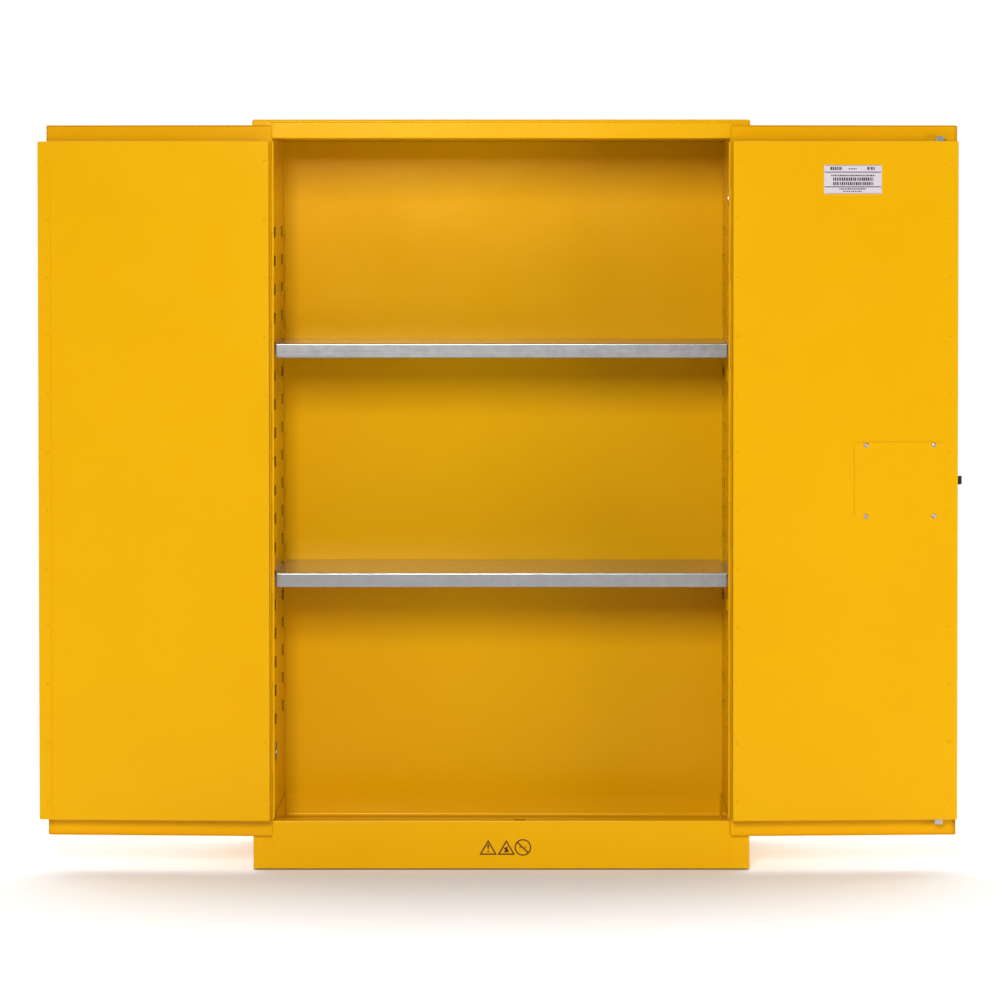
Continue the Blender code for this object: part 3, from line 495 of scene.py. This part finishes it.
def carve(mesh, cutters):
    """Takes cutter meshes out of a mesh and gives back the carved mesh."""
    piece = bpy.data.objects.new("blank", mesh_data(mesh, "blank"))
    bpy.context.collection.objects.link(piece)
    tools = []
    for number, cutter in enumerate(cutters):
        tool = bpy.data.objects.new("cutter", mesh_data(cutter, "cutter"))
        bpy.context.collection.objects.link(tool)
        cut = piece.modifiers.new(f"cut_{number}", "BOOLEAN")
        cut.object = tool
        tools.append(tool)
    graph = bpy.context.evaluated_depsgraph_get()
    carved = bmesh.new()
    carved.from_object(piece, graph)
    for item in [piece, *tools]:
        bpy.data.objects.remove(item, do_unlink=True)
    return carved


def box_mesh(size, place):
    """A box about the origin of a place."""
    mesh = bmesh.new()
    bmesh.ops.create_cube(mesh, size=1, matrix=place @ Matrix.Diagonal((*size, 1)))
    return mesh


COVER_U = (0.2960, 0.4450)
COVER_Z = (0.782, 0.938)
SCREW_SEAT = 0.0441
SCREW_TIP = 0.034
SCREW_HEAD = ((0, SCREW_TIP), (0.0020, SCREW_TIP), (0.0020, SCREW_SEAT - 0.0008),
              (0.0050, SCREW_SEAT - 0.0008), (0.0053, SCREW_SEAT + 0.0003),
              (0.0053, SCREW_SEAT + 0.0010), (0.0050, SCREW_SEAT + 0.0019),
              (0.0041, SCREW_SEAT + 0.0026), (0.0026, SCREW_SEAT + 0.0030),
              (0, SCREW_SEAT + 0.0031))


SCREW_TURNS = (12, 58, 31, 77)
RECESS_SIZE = (0.0058, 0.0030, 0.0012)
RECESS_FACE = SCREW_SEAT + 0.0028


def fit_cover_screws():
    """Pan-head screws with a cross recess."""
    spots = [(u, z) for z in COVER_Z for u in COVER_U]
    for number, ((u, z), turn) in enumerate(zip(spots, SCREW_TURNS), 1):
        head = bmesh.new()
        add_lathe(head, SCREW_HEAD, (-u, 0, z))
        slots = [box_mesh(RECESS_SIZE, Matrix.Translation((-u, RECESS_FACE, z))
                          @ Matrix.Rotation(math.radians(turn + spin), 4, "Y"))
                 for spin in (0, 90)]
        name = f"cover_screw_{number}"
        piece = add_piece(f"{name}_head", carve(head, slots), ZINC, "right_door", RIGHT_DOOR)
        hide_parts(name)


fit_cover_screws()


# ---------------------------------------------------------------- marks and label

MARK_Z = 0.0444
MARK_PROUD = (-0.00012, 0.0003)
TRIANGLE_X = (-0.0292, 0.0108)
TRIANGLE_RADII = (0.0222, 0.0162)
BAR = ((-0.0024, 0.0118), (-0.0013, 0.0012), (0.0013, 0.0012), (0.0024, 0.0118))
DOT_DROP = 0.0036
DOT_RADIUS = 0.0021
BLOT = ((-0.0075, 0.0045), (-0.0024, 0.0000), (-0.0052, -0.0060), (0.0034, -0.0055),
        (0.0058, -0.0014), (0.0024, 0.0022), (0.0034, 0.0090), (-0.0006, 0.0052))
RING = (0.0472, MARK_Z + 0.0052)
RING_RADII = (0.0184, 0.0155)
STROKE_SPANS = ((-0.0080, -0.0035), (0.0030, 0.0078))
STROKE_RISES = ((-0.0018, -0.0006), (0.0008, 0.0020))
STROKE_SLANT = 0.0010
SLANT = ((-0.0128, 0.0098), (-0.0106, 0.0120), (0.0124, -0.0102), (0.0102, -0.0124))


def print_base_marks():
    """Three plain outline shapes on the sill."""
    mesh = bmesh.new()
    for x in TRIANGLE_X:
        outer, inner = [polygon((x, MARK_Z), radius, 3) for radius in TRIANGLE_RADII]
        add_ring(mesh, outer, inner, *MARK_PROUD)
    first, second = [(x, MARK_Z) for x in TRIANGLE_X]
    add_prism(mesh, shifted(BAR, first), *MARK_PROUD)
    add_prism(mesh, polygon((first[0], MARK_Z - DOT_DROP), DOT_RADIUS, 12), *MARK_PROUD)
    add_prism(mesh, shifted(BLOT, second), *MARK_PROUD)
    outer, inner = [polygon(RING, radius, 48) for radius in RING_RADII]
    add_ring(mesh, outer, inner, *MARK_PROUD)
    for near, far in STROKE_SPANS:
        for low, high in STROKE_RISES:
            stroke = ((near, low), (far, low + STROKE_SLANT), (far, high + STROKE_SLANT),
                      (near, high))
            add_prism(mesh, shifted(stroke, RING), *MARK_PROUD)
    add_prism(mesh, shifted(SLANT, RING), *MARK_PROUD)
    add_piece("base_marks", mesh, MARK, "cabinet")


LABEL_U = (0.202, 0.329)
LABEL_Z = (1.4875, 1.5505)
LABEL_FACE = 0.0429
LABEL_WIDE = LABEL_U[1] - LABEL_U[0]
LABEL_TALL = LABEL_Z[1] - LABEL_Z[0]
PRINT_SUNK = 0.0001
PRINT_PROUD = 0.00006
RULE_MARGIN = 0.0015
RULES = ((0.0466, 0.0486), (0.0144, 0.0164), (0.0010, 0.0016),
         (LABEL_TALL - 0.0016, LABEL_TALL - 0.0010))
BROKEN_ROWS = ((0.0385, 0.0420, 0.016, 0.112), (0.0285, 0.0360, 0.020, 0.108),
               (0.0190, 0.0260, 0.020, 0.108), (0.0095, 0.0125, 0.034, 0.092),
               (0.0045, 0.0070, 0.042, 0.084), (0.0525, 0.0590, 0.095, 0.112),
               (0.0520, 0.0590, 0.014, 0.040), (0.0535, 0.0560, 0.054, 0.072))
BAR_LENGTH = (0.0015, 0.0040)
BAR_GAP = (0.0010, 0.0018)


def print_label():
    """Plain rules and broken bars where the plate would be printed."""
    mesh = bmesh.new()
    random.seed(3)

    def bar(first, last, low, high):
        add_box(mesh, (-(LABEL_U[0] + first), LABEL_FACE - PRINT_SUNK, LABEL_Z[0] + low),
                (-(LABEL_U[0] + last), LABEL_FACE + PRINT_PROUD, LABEL_Z[0] + high))

    for low, high in RULES:
        bar(RULE_MARGIN, LABEL_WIDE - RULE_MARGIN, low, high)
    for low, high, first, last in BROKEN_ROWS:
        u = first
        while u < last:
            length = random.uniform(*BAR_LENGTH)
            bar(u, min(u + length, last), low, high)
            u += length + random.uniform(*BAR_GAP)
    add_piece("label_rules", mesh, INK, "right_door", RIGHT_DOOR)


print_base_marks()
print_label()


# ---------------------------------------------------------------- studio

def add_area(name, place, size, power):
    """A rectangular lamp that faces the middle of the object."""
    data = bpy.data.lights.new(name, "AREA")
    data.shape = "RECTANGLE"
    data.size, data.size_y = size
    data.energy = power
    light = bpy.data.objects.new(name, data)
    light.location = place
    facing = Vector(LIGHT_TARGET) - Vector(place)
    light.rotation_euler = facing.to_track_quat("-Z", "Y").to_euler()
    bpy.context.collection.objects.link(light)


BACKDROP_TURN = (-0.35, 0.20)
CEILING_TURN = (-0.20, 0.30)
CEILING_START = (0.48, 0.62)
ROOM_LEVEL = 0.08
BACKDROP_LEVEL = 1.02
FRONT_CEILING = 0.25
REAR_CEILING = 2.5
LIGHT_TARGET = (0, 0, 0.8)
KEY_PLACE = (-0.55, -7.8, 3.2)
KEY_SIZE = (1.1, 1.9)
KEY_POWER = 415
FILL_PLACE = (4.2, -4.4, 0.8)
FILL_SIZE = (2.2, 1.4)
FILL_POWER = 66
FLOOR_RADIUS = 30.0
FLOOR_PALE = 0.95
# The floor's colour darkens in front of the object: painted shade for a dimmer room, so the floor
# throws less light back.
FLOOR_PAINTED_SHADE = 0.36
FLOOR_PAINTED_SHADE_SPAN = (-3.3, -1.75)


def build_world():
    """White behind and above the object, and a dim room behind the camera."""
    world = bpy.data.worlds.new("studio")
    world.use_nodes = True
    tree = world.node_tree
    coords = tree.nodes.new("ShaderNodeTexCoord")
    axes = tree.nodes.new("ShaderNodeSeparateXYZ")
    tree.links.new(coords.outputs["Generated"], axes.inputs[0])
    levels = []
    for axis, turn, ends in (("Y", BACKDROP_TURN, (ROOM_LEVEL, BACKDROP_LEVEL)),
                             ("Y", CEILING_TURN, (FRONT_CEILING, REAR_CEILING)),
                             ("Z", CEILING_START, (0, 0))):
        made = tree.nodes.new("ShaderNodeMapRange")
        for key, number in zip(("From Min", "From Max", "To Min", "To Max"), (*turn, *ends)):
            made.inputs[key].default_value = number
        tree.links.new(axes.outputs[axis], made.inputs["Value"])
        levels.append(made)
    around, ceiling, level = levels
    tree.links.new(around.outputs["Result"], level.inputs["To Min"])
    tree.links.new(ceiling.outputs["Result"], level.inputs["To Max"])
    background = tree.nodes["Background"]
    background.inputs["Color"].default_value = (1, 1, 1, 1)
    tree.links.new(level.outputs["Result"], background.inputs["Strength"])
    bpy.context.scene.world = world


def build_studio():
    """World, lamps and a pale floor whose colour darkens in front of the object, painted shade
    that throws less light back onto it.
    """
    build_world()
    add_area("key", KEY_PLACE, KEY_SIZE, KEY_POWER)
    add_area("fill", FILL_PLACE, FILL_SIZE, FILL_POWER)
    mesh = bmesh.new()
    bmesh.ops.create_circle(mesh, cap_ends=True, radius=FLOOR_RADIUS, segments=128)
    data = bpy.data.meshes.new("floor")
    mesh.to_mesh(data)
    mesh.free()
    floor = bpy.data.objects.new("floor", data)
    bpy.context.collection.objects.link(floor)
    pale = Shader("pale_floor", Roughness=0.9, Specular_IOR_Level=0.1)
    depth = pale.node("ShaderNodeSeparateXYZ", Vector=pale.coords).outputs["Y"]
    # Painted shade: the floor's colour darkens towards the front.
    tone = pale.span(depth, *FLOOR_PAINTED_SHADE_SPAN, FLOOR_PAINTED_SHADE, FLOOR_PALE)
    data.materials.append(pale.set(Base_Color=tone))


CAMERA_PLACE = (0.1135, -9.6284, 1.4573)
CAMERA_PITCH = 1.6243
CAMERA_LENS = 154.7
CAMERA_SHIFT = (-0.0530, -0.1704)


def build_camera():
    """The photo's view: almost level, a little right of the middle, with a long lens."""
    data = bpy.data.cameras.new("camera")
    data.sensor_width = 36
    data.lens = CAMERA_LENS
    data.shift_x, data.shift_y = CAMERA_SHIFT
    camera = bpy.data.objects.new("camera", data)
    camera.location = CAMERA_PLACE
    camera.rotation_euler = (math.radians(90 - CAMERA_PITCH), 0, 0)
    bpy.context.collection.objects.link(camera)
    bpy.context.scene.camera = camera
    bpy.context.scene.view_settings.view_transform = "Standard"


build_studio()
build_camera()
